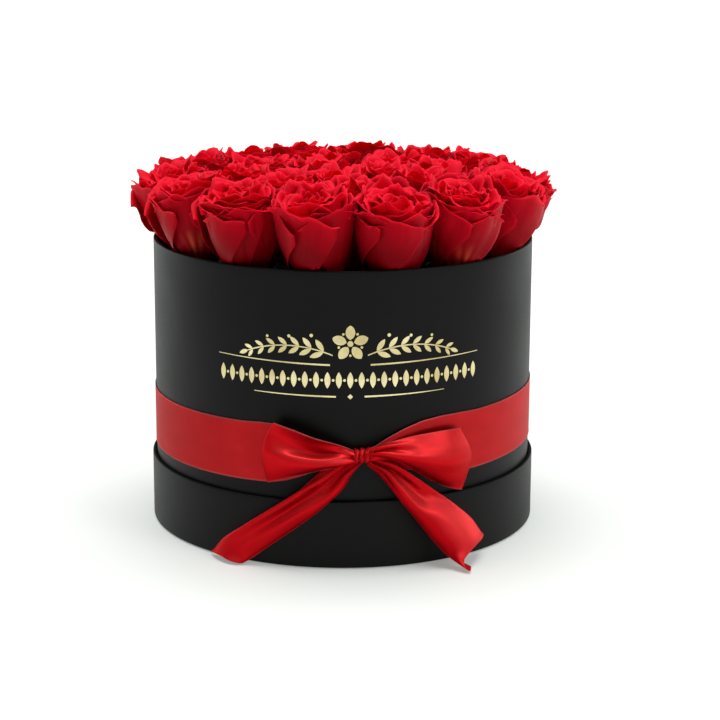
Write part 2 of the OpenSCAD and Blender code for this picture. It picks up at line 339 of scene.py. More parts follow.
def petal_material():
    """Preserved petal: velvety, with a painted highlight at the thinner lip, painted shade low on the petal, fine veins
    along its length. UV: x across, y from base to lip.
    """
    m, nt, b = nodes_of("rose_petal")
    uvn = coords(nt, (26, 2.2, 1), "UV")
    vein = noise(nt, uvn, 1.0, 4, 0.6)
    obj = coords(nt, (1, 1, 1))
    mottle = noise(nt, obj, 120, 4, 0.6)
    big = noise(nt, obj, 26, 2, 0.5)
    lip = nt.nodes.new("ShaderNodeAttribute")
    lip.attribute_name = "lip"
    tone = nt.nodes.new("ShaderNodeAttribute")
    tone.attribute_name = "tone"
    body = ramp(nt, mix(nt, 0.45, mottle, big), [(0.3, (0.62, 0.0, 0.009)), (0.55, (0.80, 0.0005, 0.016)), (0.75, (0.92, 0.002, 0.024))])
    veined = mix(nt, 0.42, body, ramp(nt, vein, [(0.3, (0.42, 0.0, 0.006)), (0.7, (0.94, 0.003, 0.026))]))
    # painted shade: darker towards the petal's base, deep inside the head
    deep = nt.nodes.new("ShaderNodeAttribute")
    deep.attribute_name = "deep"
    shaded = mix(nt, deep.outputs["Fac"], veined, (0.150, 0.0, 0.002))
    # painted highlight: lighter along the lip
    lipped = mix(nt, lip.outputs["Fac"], shaded, (1.0, 0.016, 0.050))
    dry = nt.nodes.new("ShaderNodeAttribute")
    dry.attribute_name = "dry"
    warm = mix(nt, tone.outputs["Fac"], lipped, (0.60, 0.09, 0.035))
    nt.links.new(mix(nt, dry.outputs["Fac"], warm, (0.12, 0.0, 0.016)), b.inputs["Base Color"])
    nt.links.new(ramp(nt, vein, [(0.3, grey(0.46)), (0.7, grey(0.64))]), b.inputs["Roughness"])
    b.inputs["Specular IOR Level"].default_value = 0.11
    b.inputs["Specular Tint"].default_value = (1.0, 0.25, 0.3, 1)
    b.inputs["Sheen Weight"].default_value = 0.03
    b.inputs["Sheen Roughness"].default_value = 0.4
    b.inputs["Sheen Tint"].default_value = (1.0, 0.10, 0.14, 1)
    b.inputs["Subsurface Weight"].default_value = 0.25
    b.inputs["Subsurface Radius"].default_value = (1.0, 0.10, 0.08)
    b.inputs["Subsurface Scale"].default_value = 0.002
    h = mix(nt, 0.5, vein, mottle)
    nt.links.new(bump(nt, h, 0.0004, 0.6), b.inputs["Normal"])
    return m


def foam_material():
    m, nt, b = nodes_of("dry_foam")
    v = coords(nt, (1, 1, 1))
    n1 = noise(nt, v, 900, 4, 0.7)
    vor = nt.nodes.new("ShaderNodeTexVoronoi")
    nt.links.new(v, vor.inputs["Vector"])
    vor.inputs["Scale"].default_value = 1400
    n2 = noise(nt, v, 40, 3, 0.6)
    nt.links.new(ramp(nt, mix(nt, 0.5, n1, n2), [(0.3, (0.014, 0.032, 0.019)), (0.7, (0.036, 0.068, 0.042))]), b.inputs["Base Color"])
    b.inputs["Roughness"].default_value = 0.95
    nt.links.new(bump(nt, mix(nt, 0.5, n1, vor.outputs[0]), 0.0004, 0.7), b.inputs["Normal"])
    return m


def green_material(name, lo, hi, rough):
    m, nt, b = nodes_of(name)
    v = coords(nt, (1, 1, 0.18))
    n1 = noise(nt, v, 420, 4, 0.6)
    n2 = noise(nt, coords(nt, (1, 1, 1)), 60, 3, 0.5)
    nt.links.new(ramp(nt, mix(nt, 0.5, n1, n2), [(0.3, lo), (0.7, hi)]), b.inputs["Base Color"])
    b.inputs["Roughness"].default_value = rough
    nt.links.new(bump(nt, n1, 0.00015, 0.5), b.inputs["Normal"])
    return m


PAPER = paper_material("covering_paper", (0.0032, 0.0034, 0.0032), 0.47)
LINER = paper_material("lining_paper", (0.016, 0.0165, 0.016), 0.62)
BOARD = board_material()
FOIL = foil_material()
SATIN = satin_material()
PETAL = petal_material()
FOAM = foam_material()
STEM = green_material("stem", (0.045, 0.085, 0.022), (0.11, 0.17, 0.05), 0.55)
CALYX = green_material("calyx", (0.014, 0.030, 0.010), (0.045, 0.075, 0.026), 0.6)

for names, material in ((("body_tube", "body_floor", "lid_band", "lid_panel"), BOARD),
                        (("body_lining", "lid_lining", "lid_inner_paper"), LINER),
                        (("body_floor_paper", "lid_panel_paper", "body_wrap", "lid_wrap"), PAPER),
                        (("foil_motif",), FOIL), (("foam_lower", "foam_upper"), FOAM),
                        (("rose_stems",), STEM), (("calyxes",), CALYX)):
    for n in names:
        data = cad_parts[n].data
        data.materials.clear()
        data.materials.append(material)

# ------------------------------------------------------------------ paper covers

TURN_IN = 18.0
ANG = np.radians(np.unique(np.concatenate([np.linspace(0, 360, 289)[:-1], [171.9, 172.0, 179.6, 180.4]])))


def seam(a, r, z, out_r):
    """The covering paper's glued overlap: a low step down the back, on the outer face only."""
    d = np.degrees(a)
    step = np.clip((d - 171.9) / 0.1, 0, 1) * np.clip((180.4 - d) / 0.8, 0, 1)
    return 0.14 * step * (r > out_r - 0.25)


def cover_profile(r_out, r_in, z0, z1, turn, t, edge, under):
    """Outline of a cover: under the base, up the outside, over the rim and down inside, and back at its own thickness."""
    e = edge
    out = [(under, z0)] + arc(r_out - e, z0 + e, e, -90, 0)
    out += [(r_out, z) for z in np.linspace(z0 + 6, z1 - 6, 24)]
    out += arc(r_out - e, z1 - e, e, 0, 90) + arc(r_in + e, z1 - e, e, 90, 180)
    out += [(r_in, z1 - turn * 0.5), (r_in, z1 - turn)]
    back = [(r_in + t, z1 - turn), (r_in + t, z1 - e - 0.2)]
    back += arc(r_in + e, z1 - e, e - t, 180, 90, 4) + arc(r_out - e, z1 - e, e - t, 90, 0, 4)
    back += [(r_out - t, z1 - 8), (r_out - t, z0 + 8)] + arc(r_out - e, z0 + e, e - t, 0, -90, 4) + [(under, z0 + t)]
    return out + back


wrap_v, wrap_q = lathe(cover_profile(BODY_R, BODY_R - 2.7, BODY_Z, RIM_Z, TURN_IN, 0.3, 0.95, BODY_R - 14), ANG,
                       lambda a, r, z: seam(a, r, z, BODY_R))
wrap = make("box_cover_paper", wrap_v, wrap_q, PAPER, "box")
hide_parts("body_wrap")

lw_v, lw_q = lathe(cover_profile(LID_R, LID_R - 2.4, LID_Z, LID_H, 15.0, 0.25, 0.85, LID_R - 14), ANG,
                   lambda a, r, z: seam(a, r, z, LID_R))
lidwrap = make("lid_cover_paper", lw_v, lw_q, PAPER, "lid")
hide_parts("lid_wrap")

# ------------------------------------------------------------------ ribbon
# Control points are (turn from the front toward +X in degrees, distance outside the box wall in mm, height in mm).

SLOPE = 0.0227


def cyl(c):
    c = np.asarray(c, float)
    a, r = np.radians(c[..., 0]), BODY_R + c[..., 1]
    return np.stack([r * np.sin(a), -r * np.cos(a), c[..., 2]], -1)


def near(x, middle, reach):
    return np.exp(-((x - middle) / reach) ** 2)


def painted_shade_and_highlight(p, strength, east=0.33):
    """Painted shade in the satin's folds and a painted highlight on its ridges: two weights from the way each point
    faces a fixed light direction, which east tilts towards +X.
    """
    n = grid_normals(p)
    out = p.copy()
    out[..., 2] = 0
    n = n * np.where((n * out).sum(-1, keepdims=True) < 0, -1, 1)
    to_light = np.array([east, -0.61, 0.72])
    to_light = to_light / np.linalg.norm(to_light)
    facing = n @ to_light
    flat_on = np.abs((n * out).sum(-1)) / np.maximum(np.linalg.norm(out, axis=-1), 1e-6)
    facing = np.where(flat_on < 0.5, np.maximum(facing, 0.72 - 0.4 * flat_on), facing)     # the rim of a loop catches light
    for _ in range(2):
        facing[1:-1] = (facing[:-2] + 2 * facing[1:-1] + facing[2:]) / 4
        facing[:, 1:-1] = (facing[:, :-2] + 2 * facing[:, 1:-1] + facing[:, 2:]) / 4
    # dark weight where the satin faces away from the light, bright weight where it faces it
    return (strength * np.clip((0.55 - facing) / 0.60, 0, 1)).ravel(), (0.6 * min(strength * 2, 1) * np.clip((facing - 0.70) / 0.24, 0, 1)).ravel()


def ribbon(name, control, ns, nw, width, length, held, node, pleats=(), seed=1, wrinkle=0.0, end=None, thick=0.34, east=0.33,
           shade=None, shine=None):
    """A strip lofted through control[station][across]. pleats = (start, end, number, height in mm) along the strip, as
    a fraction of it; end(s, w) shifts the parameter s so that the last edge can be cut to a shape; shade(s, w) adds
    painted shadow to the fold weight where the satin lies under the bow, and shine(s, w) adds painted highlight where
    it stands out of it."""
    rng = np.random.default_rng(seed)
    s, w = np.linspace(0, 1, ns), np.linspace(0, 1, nw)
    c = catmull(control, s)                       # along
    p = np.swapaxes(catmull(np.swapaxes(c, 0, 1), w), 0, 1)   # across
    if end is not None:
        dense = np.linspace(0, 1, 4 * ns)
        pc = np.swapaxes(catmull(np.swapaxes(catmull(control, dense), 0, 1), w), 0, 1)
        p = np.empty((ns, nw, 3))
        for j in range(nw):
            sj = end(s, w[j])
            for k in range(3):
                p[:, j, k] = np.interp(sj, dense, pc[:, j, k])
    p = cyl(p)
    n = grid_normals(p)
    ss, ww = s[:, None], w[None, :]
    for s0, s1, number, high in pleats:
        fall = np.clip((s1 - ss) / (s1 - s0), 0, 1) if s1 > s0 else np.clip((ss - s1) / (s0 - s1), 0, 1)
        fall = fall * fall * (3 - 2 * fall)
        phase = 0.35 * noise2(rng, ss + 0 * ww, ww + 0 * ss, 5, 3)
        p = p + n * (high * fall * np.sin(2 * np.pi * (number * ww + phase + 0.6 * ss)))[..., None]
    if wrinkle:
        x = ss + 0 * ww
        y = ww + 0 * ss
        q = noise2(rng, x, y, length / 16, 2.5) + 0.5 * noise2(rng, x, y, length / 7, 4)
        p = p + n * (wrinkle * q)[..., None]
    along = np.concatenate([[0], np.cumsum(np.linalg.norm(np.diff(p[:, nw // 2], axis=0), axis=-1))])
    edge = np.clip(1 - np.minimum(ww, 1 - ww) / 0.022, 0, 1) + 0 * ss
    v, q, at = shell(p, thick + 0.16 * edge)
    # painted shade and painted highlight from the way the satin faces the light, weaker on the stretched band; shade
    # and shine add more painted shadow and painted highlight
    fold, painted_highlight = painted_shade_and_highlight(p, 0.25 if held == "stretched" else 0.85, east)
    if shade is not None:
        dark = shade(ss, ww) + 0 * ss + 0 * ww
        fold, painted_highlight = np.clip(fold + dark.ravel(), 0, 1), painted_highlight * np.clip(1 - 1.4 * dark.ravel(), 0, 1)
    if shine is not None:
        painted_highlight = np.clip(painted_highlight + (shine(ss, ww) + 0 * ss + 0 * ww).ravel(), 0, 1)
    uv = np.stack([np.repeat(along, nw), np.tile(w * width * 1000, ns)], 1)[at]
    ob = make(name, v, q, SATIN, "box", uv, {"selvedge": edge.ravel()[at] * 0.75, "fold": fold[at], "painted_highlight": painted_highlight[at],
                                          "rich": np.full(len(v), 0.0 if held == "stretched" else 0.7)})
    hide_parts(node)
    area = np.linalg.norm(np.cross(p[1:, :-1] - p[:-1, :-1], p[:-1, 1:] - p[:-1, :-1]), axis=-1).sum()
    print("RIBBON", name, "area ratio %.2f" % (area / (width * length * 1e6)), "middle length %.1f mm" % along[-1])
    return ob


def band_control():
    """Round the box from the right of the knot, by the back, to its left. The front ends are gathered into the knot."""
    rows = []
    def row(turn, lo, hi, dr, fold=(0, 0, 0, 0, 0, 0, 0)):
        z = np.linspace(lo, hi, 7)
        rows.append([(turn, dr + f, x) for f, x in zip(fold, z)])
    z0 = 54.3
    def flat(turn):
        x = BODY_R * math.sin(math.radians(turn)) * SLOPE
        row(turn, z0 + x, z0 + 38 + x, 0.42)
    row(2.5, 71.4, 76.8, 5.6, (-1, 0.4, -0.4, 0.6, -0.4, 0.4, -0.6))
    row(6.5, 69.6, 79.2, 4.6, (-1, 0.6, -0.6, 1.0, -0.6, 0.8, -0.6))
    row(10.5, 67.0, 84.2, 3.0, (-1, 0.6, -0.6, 1.0, -1.0, 1.2, -0.4))
    row(15.5, 63.0, 89.2, 2.0, (-1, 0.4, -0.6, 0.6, -0.9, 1.2, -0.3))
    row(21.0, 59.4, 93.0, 1.3, (-0.6, 0.2, -0.4, 0.3, -0.5, 0.9, -0.1))
    row(27.0, 57.0, 94.5, 0.9, (-0.3, 0.1, -0.2, 0.1, -0.2, 0.4, 0))
    row(33.5, 56.0, 94.6, 0.6)
    for t in (40, 48, 58, 70, 84, 100, 118, 138, 160, 180, 200, 222, 242, 260, 276, 290, 302, 312, 321, 329):
        flat(t)
    row(334.0, 53.2, 91.6, 0.6)
    row(338.2, 53.8, 91.4, 0.8)
    row(341.8, 55.6, 87.4, 0.9, (0, 0.1, -0.2, 0.2, -0.2, 0.2, 0))
    row(345.5, 58.4, 84.0, 1.1, (0, 0.2, -0.3, 0.3, -0.3, 0.3, 0))
    row(351.0, 63.4, 79.8, 1.5, (0, 0.2, -0.3, 0.3, -0.3, 0.3, 0))
    row(356.0, 68.0, 77.0, 2.8, (0, 0.3, -0.3, 0.4, -0.3, 0.3, 0))
    row(361.5, 71.0, 76.8, 4.6)
    return rows


_band = np.array(band_control())
# even spacing along the strip
_t = np.concatenate([[0], np.cumsum(np.diff(_band[:, 3, 0]))])
_t = _t / _t[-1]
_fine = np.linspace(0, 1, 241)
_band_even = np.stack([[np.interp(_fine, _t, _band[:, j, k]) for k in range(3)] for j in range(7)], 0)   # (7, 3, 241)
_band_even = np.moveaxis(_band_even, -1, 0)
ribbon("ribbon_round_box", _band_even, 481, 29, 0.038, 0.792, "stretched", "ribbon_band",
       pleats=((0.0, 0.075, 3.0, 0.8), (1.0, 0.94, 3.0, 0.6)), seed=3)

LEFT_LOOP = [
    [(1.5, 5.0, 70.8), (1.5, 6.6, 71.8), (1.5, 7.2, 72.8), (1.5, 6.4, 74.0), (1.5, 7.0, 75.2), (1.5, 6.8, 76.4), (1.5, 5.4, 77.4)],
    [(-3, 7.6, 67.6), (-3, 9.6, 69.4), (-3, 10.8, 71.8), (-3, 10.0, 74.6), (-3, 5.8, 76.0), (-3, 6.8, 78.8), (-3, 8.2, 81.6)],
    [(-8.5, 9.0, 65.2), (-8.5, 11.4, 67.4), (-8.5, 12.8, 70.4), (-8.5, 11.8, 73.8), (-8.5, 5.2, 75.0), (-8.5, 7.2, 80.4), (-8.5, 11.2, 86.2)],
    [(-14.0, 9.8, 62.2), (-14.0, 12.2, 65.4), (-14.0, 13.8, 69.8), (-14.0, 12.8, 74.6), (-14.0, 7.4, 77.2), (-14.0, 8.2, 83.8), (-14.0, 12.0, 91.0)],
    [(-19.6, 9.0, 57.6), (-20.0, 10.8, 62.6), (-20.2, 11.8, 68.6), (-20.4, 11.8, 75.2), (-20.2, 10.2, 80.8), (-19.8, 9.2, 87.2), (-19.0, 10.4, 94.0)],
    [(-22.6, 7.6, 55.6), (-23.2, 8.8, 61.8), (-23.7, 9.6, 68.4), (-23.9, 9.6, 75), (-23.4, 8.6, 81.4), (-22.4, 7.8, 87.8), (-20.8, 8.2, 94.2)],
    [(-22.0, 2.8, 57.0), (-22.6, 2.4, 63.0), (-22.9, 2.4, 69), (-23.0, 2.6, 75.0), (-22.5, 2.6, 80.8), (-21.7, 2.8, 86.0), (-20.3, 3.0, 90.6)],
    [(-15, 2.2, 64.4), (-15, 2.4, 68), (-15, 2.6, 71.4), (-15, 2.8, 74.6), (-15, 2.8, 77.4), (-15, 3.0, 80.0), (-15, 3.4, 82.4)],
    [(-7.5, 3.0, 67.8), (-7.5, 3.4, 70.0), (-7.5, 3.6, 72.0), (-7.5, 3.8, 74.0), (-7.5, 4.0, 75.8), (-7.5, 4.0, 77.6), (-7.5, 4.2, 79.2)],
    [(1.5, 4.2, 71.2), (1.5, 4.6, 72.1), (1.5, 4.8, 73.1), (1.5, 4.9, 74.0), (1.5, 4.8, 75.0), (1.5, 4.6, 75.8), (1.5, 4.2, 76.6)],
]
RIGHT_LOOP = [
    [(4.5, 5.0, 71.6), (4.5, 6.6, 72.6), (4.5, 7.2, 73.6), (4.5, 6.6, 74.6), (4.5, 7.2, 75.6), (4.5, 6.8, 76.6), (4.5, 5.2, 77.8)],
    [(9.5, 5.8, 71.4), (9.5, 8.4, 72.0), (9.5, 10.8, 74.0), (9.5, 11.4, 76.8), (9.5, 8.6, 78.2), (9.5, 9.0, 80.2), (9.5, 6.8, 82.2)],
    [(15.5, 4.8, 66.2), (15.5, 8.4, 66.4), (15.5, 12.0, 69.2), (15.5, 14.2, 74.4), (15.5, 11.6, 77.8), (15.5, 9.8, 81.6), (15.5, 6.8, 84.8)],
    [(21.5, 4.4, 57.0), (21.5, 8.2, 58.6), (21.5, 12.0, 63.2), (21.5, 15.2, 70.2), (21.5, 13.4, 76.2), (21.5, 10.0, 81.6), (21.5, 7.0, 86.2)],
    [(27.6, 4.8, 49.4), (27.9, 8.6, 53.8), (28.2, 11.2, 60), (28.4, 13.6, 67.4), (28.4, 12.0, 74.4), (28.2, 9.2, 80.8), (28, 6.8, 86.6)],
    [(32.9, 4.6, 45.2), (34.0, 5.8, 52.0), (34.9, 6.8, 58.8), (35.6, 7.0, 65.6), (35.2, 6.4, 72), (33.8, 5.2, 78.8), (32.2, 4.6, 85.6)],
    [(32.2, 2.0, 46.8), (32.9, 2.2, 53.4), (33.6, 2.4, 59.6), (34.2, 2.6, 66), (33.9, 2.6, 72.4), (32.8, 2.6, 78.2), (31.2, 2.6, 83.6)],
    [(22, 2.4, 58.0), (22, 2.6, 62.4), (22, 2.8, 66.6), (22, 3.0, 70.8), (22, 3.0, 75), (22, 3.0, 79.0), (22, 3.2, 82.6)],
    [(13, 3.2, 68.4), (13, 3.4, 70.6), (13, 3.6, 72.8), (13, 3.8, 75.0), (13, 3.8, 77.2), (13, 3.8, 79.2), (13, 4.0, 81.2)],
    [(4.5, 4.2, 71.4), (4.5, 4.6, 72.4), (4.5, 4.8, 73.4), (4.5, 4.9, 74.4), (4.5, 4.8, 75.4), (4.5, 4.6, 76.2), (4.5, 4.2, 77.0)],
]
ribbon("bow_loop_left_satin", LEFT_LOOP, 181, 49, 0.038, 0.125, "folded", "bow_loop_left",
       pleats=((0.0, 0.34, 2.6, 1.2), (1.0, 0.55, 5.5, 1.7)), seed=5, wrinkle=0.25, east=0.02)
# painted shadow on the lower part of the loop near the knot
ribbon("bow_loop_right_satin", RIGHT_LOOP, 181, 49, 0.038, 0.155, "folded", "bow_loop_right",
       pleats=((0.0, 0.32, 2.6, 1.2), (1.0, 0.55, 5.5, 1.7)), seed=6, wrinkle=0.25, east=0.28,
       shade=lambda s, w: 0.40 * near(s, 0.24, 0.13) * np.clip((0.40 - w) / 0.22, 0, 1))

LEFT_TAIL = [
    [(3.0, 4.0, 69.4), (2.4, 6.0, 70.0), (1.8, 6.4, 70.8), (1.4, 4.6, 71.6), (1.0, 6.2, 72.4), (0.6, 6.2, 73.0), (0.2, 4.2, 73.6)],
    [(0.8, 4.4, 62.6), (-0.2, 7.8, 62.8), (-1.2, 8.2, 63.6), (-2.2, 4.2, 64.6), (-3.2, 7.4, 66.0), (-4.2, 8.4, 67.4), (-5.0, 5.2, 68.4)],
    [(-2.6, 4.2, 51.4), (-3.4, 8.6, 51.4), (-5.0, 9.6, 53.2), (-6.4, 4.8, 55.2), (-7.8, 8.6, 57.2), (-9.2, 9.6, 58.8), (-10.6, 5.6, 57.6)],
    [(-8.0, 4.4, 39.2), (-8.8, 8.4, 39.8), (-10.8, 10.0, 42.2), (-12.6, 6.4, 45.2), (-14.2, 10.4, 47.6), (-15.6, 9.8, 48.4), (-16.4, 5.0, 45.4)],
    [(-14.8, 4.6, 26.8), (-15.6, 8.0, 28.0), (-17.4, 9.8, 31.0), (-19.4, 7.6, 34.2), (-21.2, 10.4, 36.6), (-22.6, 9.2, 36.8), (-23.0, 5.0, 33.2)],
    [(-21.8, 5.2, 14.6), (-22.4, 8.4, 16.2), (-24.4, 9.8, 19.0), (-26.6, 9.0, 22.2), (-28.8, 9.8, 24.4), (-30.4, 8.2, 23.8), (-30.8, 4.8, 19.2)],
    [(-27.4, 6.6, 4.6), (-28.0, 9.2, 6.0), (-30.2, 10.6, 8.4), (-32.6, 10.2, 11.4), (-35.0, 9.0, 13.4), (-37.0, 6.8, 12.6), (-37.6, 4.6, 8.8)],
    [(-29.8, 10.0, 0.9), (-31.0, 12.8, 1.0), (-33.2, 14.0, 1.4), (-36.0, 12.8, 2.0), (-38.6, 10.4, 2.2), (-40.8, 7.2, 1.8), (-42.4, 4.8, 1.2)],
]
RIGHT_TAIL = [
    [(4.6, 4.0, 68.8), (4.8, 6.2, 69.8), (5.0, 6.4, 70.8), (5.2, 4.8, 71.8), (5.4, 6.2, 72.8), (5.6, 6.4, 73.8), (5.8, 4.4, 74.6)],
    [(8.0, 4.6, 61.8), (8.2, 8.2, 62.6), (9.2, 8.8, 64.4), (10.2, 4.6, 65.8), (11.2, 7.2, 67.0), (12.4, 8.2, 67.8), (13.0, 5.2, 66.0)],
    [(11.4, 5.0, 53.0), (11.2, 9.4, 53.2), (12.8, 10.4, 55.0), (14.6, 5.6, 56.8), (16.4, 6.8, 58.0), (18.2, 8.4, 58.2), (19.0, 5.4, 56.0)],
    [(14.6, 6.2, 42.4), (14.2, 10.8, 42.8), (16.2, 12.2, 45.2), (18.8, 7.6, 46.6), (21.4, 7.6, 47.8), (23.8, 8.6, 48.0), (24.8, 5.2, 45.6)],
    [(18.6, 8.0, 31.0), (17.8, 12.0, 31.8), (20.0, 15.0, 33.8), (23.2, 15.2, 36.0), (26.6, 12.2, 37.6), (29.4, 9.2, 37.8), (31.0, 5.2, 35.4)],
    [(22.6, 11.0, 18.0), (21.6, 15.2, 19.4), (23.8, 18.6, 22.2), (27.4, 18.8, 25.2), (31.2, 14.8, 27.2), (34.4, 10.2, 27.2), (36.6, 5.4, 24.4)],
    [(26.8, 15.0, 6.6), (25.2, 19.4, 8.6), (27.0, 22.0, 12.6), (30.6, 21.2, 16.2), (34.4, 16.0, 18.2), (37.6, 10.4, 18.0), (39.4, 5.4, 15.8)],
    [(30.4, 25.0, 0.9), (28.2, 34.5, 0.9), (28.4, 27.0, 4.6), (32.4, 21.8, 9.0), (36.2, 16.4, 11.4), (39.4, 10.4, 12.0), (41.6, 5.2, 11.6)],
]


def fishtail(depth, tip=0.0):
    def end(s, w):
        cut = 1 - depth * (1 - abs(2 * w - 1)) ** 1.0
        return s * cut
    return end


# painted shadow on the tail near the knot and along one edge
ribbon("bow_tail_left_satin", LEFT_TAIL, 141, 57, 0.038, 0.112, "hung", "bow_tail_left",
       pleats=((0.0, 0.62, 3.4, 1.15),), seed=7, wrinkle=0.3, end=fishtail(0.02), east=0.12,
       shade=lambda s, w: 0.40 * np.clip((0.30 - s) / 0.26, 0, 1) + 0.16 * near(w, 0.0, 0.22) * np.clip((0.8 - s) / 0.2, 0, 1))
# painted shadow near the knot and along the tail's lower edge, and a painted highlight along a ridge towards its end
ribbon("bow_tail_right_satin", RIGHT_TAIL, 141, 57, 0.038, 0.096, "hung", "bow_tail_right",
       pleats=((0.0, 0.62, 3.4, 1.15),), seed=8, wrinkle=0.3, end=fishtail(0.05), east=0.50,
       shade=lambda s, w: 0.42 * np.clip((0.36 - s) / 0.26, 0, 1) + 0.34 * np.clip((0.44 - w) / 0.22, 0, 1) * np.clip((s - 0.30) / 0.30, 0, 1),
       shine=lambda s, w: 0.42 * near(w, 0.66, 0.15) * np.clip((s - 0.48) / 0.22, 0, 1) * np.clip((1.02 - s) / 0.14, 0, 1))


def knot():
    """The turn of ribbon over the middle: its edges folded under, gathered into a few soft pleats and wrapped round
    the pinched loops."""
    nu, nw = 97, 91
    a = np.linspace(-math.pi, math.pi, nu)[:-1][:, None]
    w = np.linspace(0, 1, nw)[None, :]
    rng = np.random.default_rng(11)
    x01, y01 = (a + math.pi) / (2 * math.pi) + 0 * w, w + 0 * a
    # across the strip: the place between the knot's two ends, and the depth below its face in mm
    at_w = [0, 0.08, 0.16, 0.22, 0.26, 0.30, 0.70, 0.74, 0.78, 0.84, 0.92, 1]
    place = np.interp(w, at_w, [-0.12, -0.50, -0.88, -1.02, -1.02, -0.90, 0.90, 1.02, 1.02, 0.88, 0.50, 0.12])
    deep = 0.1 + 0.45 * (np.interp(w, at_w, [1.9, 1.85, 1.6, 1.1, 0.5, 0.1, 0.1, 0.5, 1.1, 1.6, 1.85, 1.9]) - 0.1)
    half = 6.3 * (1 - 0.08 * np.cos(a + 0.4)) + 0.4 * noise2(rng, x01, 0 * y01, 4, 1)
    x = place * half + 0.8 * np.sin(a)
    face = 1 - 0.25 * np.clip((deep - 0.1) / 0.81, 0, 1)
    fold = face * (0.92 * np.cos(2 * np.pi * (1.7 * place + 0.10 * np.sin(a * 2 + 1.0) + 0.14 * np.sin(a)) + 0.9)
                   + 0.46 * np.cos(2 * np.pi * (3.9 * place + 0.2 * np.sin(a + 2.0))))
    belly = 1 - 0.12 * np.abs(place) ** 2.6
    ry = 4.5 * belly + fold - deep
    rz = 4.3 * belly + 0.75 * fold - 0.9 * deep
    y = -(BODY_R + 4.8) - ry * np.cos(a)
    z = 74.1 + rz * np.sin(a) + 0.04 * x
    turn = math.radians(3.2)
    px = x * math.cos(turn) - y * math.sin(turn)
    py = x * math.sin(turn) + y * math.cos(turn)
    p = np.stack([px, py, z + 0 * x], -1)
    v, q, at = shell(p, 0.3, wrap_u=True)
    edge = np.clip(1 - np.minimum(w, 1 - w) / 0.03, 0, 1) + 0 * a
    uv = np.stack([((a + math.pi) * 5.25 + 0 * w).ravel(), (w * 38 + 0 * a).ravel()], 1)[at]
    # painted shade and painted highlight on the knot from the way it faces the light
    fold, painted_highlight = painted_shade_and_highlight(p, 0.34)
    ob = make("bow_knot_satin", v, q, SATIN, "box", uv, {"selvedge": edge.ravel()[at] * 0.7, "fold": fold[at], "painted_highlight": painted_highlight[at], "rich": np.full(len(v), 0.35)})
    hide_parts("bow_knot")
    area_mm = np.linalg.norm(np.cross(np.roll(p, -1, 0)[:, :-1] - p[:, :-1], p[:, 1:] - p[:, :-1]), axis=-1).sum()
    print("RIBBON knot area %.0f" % area_mm, "ratio %.2f" % (area_mm / (38 * 33)), "longest line %.1f" % np.linalg.norm(np.roll(p, -1, 0) - p, axis=-1).sum(0).max())


knot()

# ------------------------------------------------------------------ roses
# Each head stands on its own calyx and stem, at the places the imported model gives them.

OUTER_TURN, MIDDLE_TURN, CENTRE_TURN = -11.1, 9.0, -21.5
ROSE_H, OUTER_LEAN, MIDDLE_LEAN = 52.0, 18.0, 5.0
OUTER_R, MIDDLE_R, CENTRE_R = 117.0, 65.8, 23.2
TOP_Z = RIM_Z + 41


def stand(ring_r, lean, turn):
    return (Matrix.Rotation(math.radians(turn), 4, "Z") @ Matrix.Translation((0, -ring_r, TOP_Z))
            @ Matrix.Rotation(math.radians(lean), 4, "X") @ Matrix.Translation((0, 0, -ROSE_H)))


# side outline of a head, as parts of its height and of its largest radius
HEAD_T = [0, 0.05, 0.10, 0.18, 0.27, 0.42, 0.58, 0.75, 1.0]
HEAD_R = [0.40, 0.55, 0.64, 0.71, 0.75, 0.835, 0.915, 0.965, 1.0]


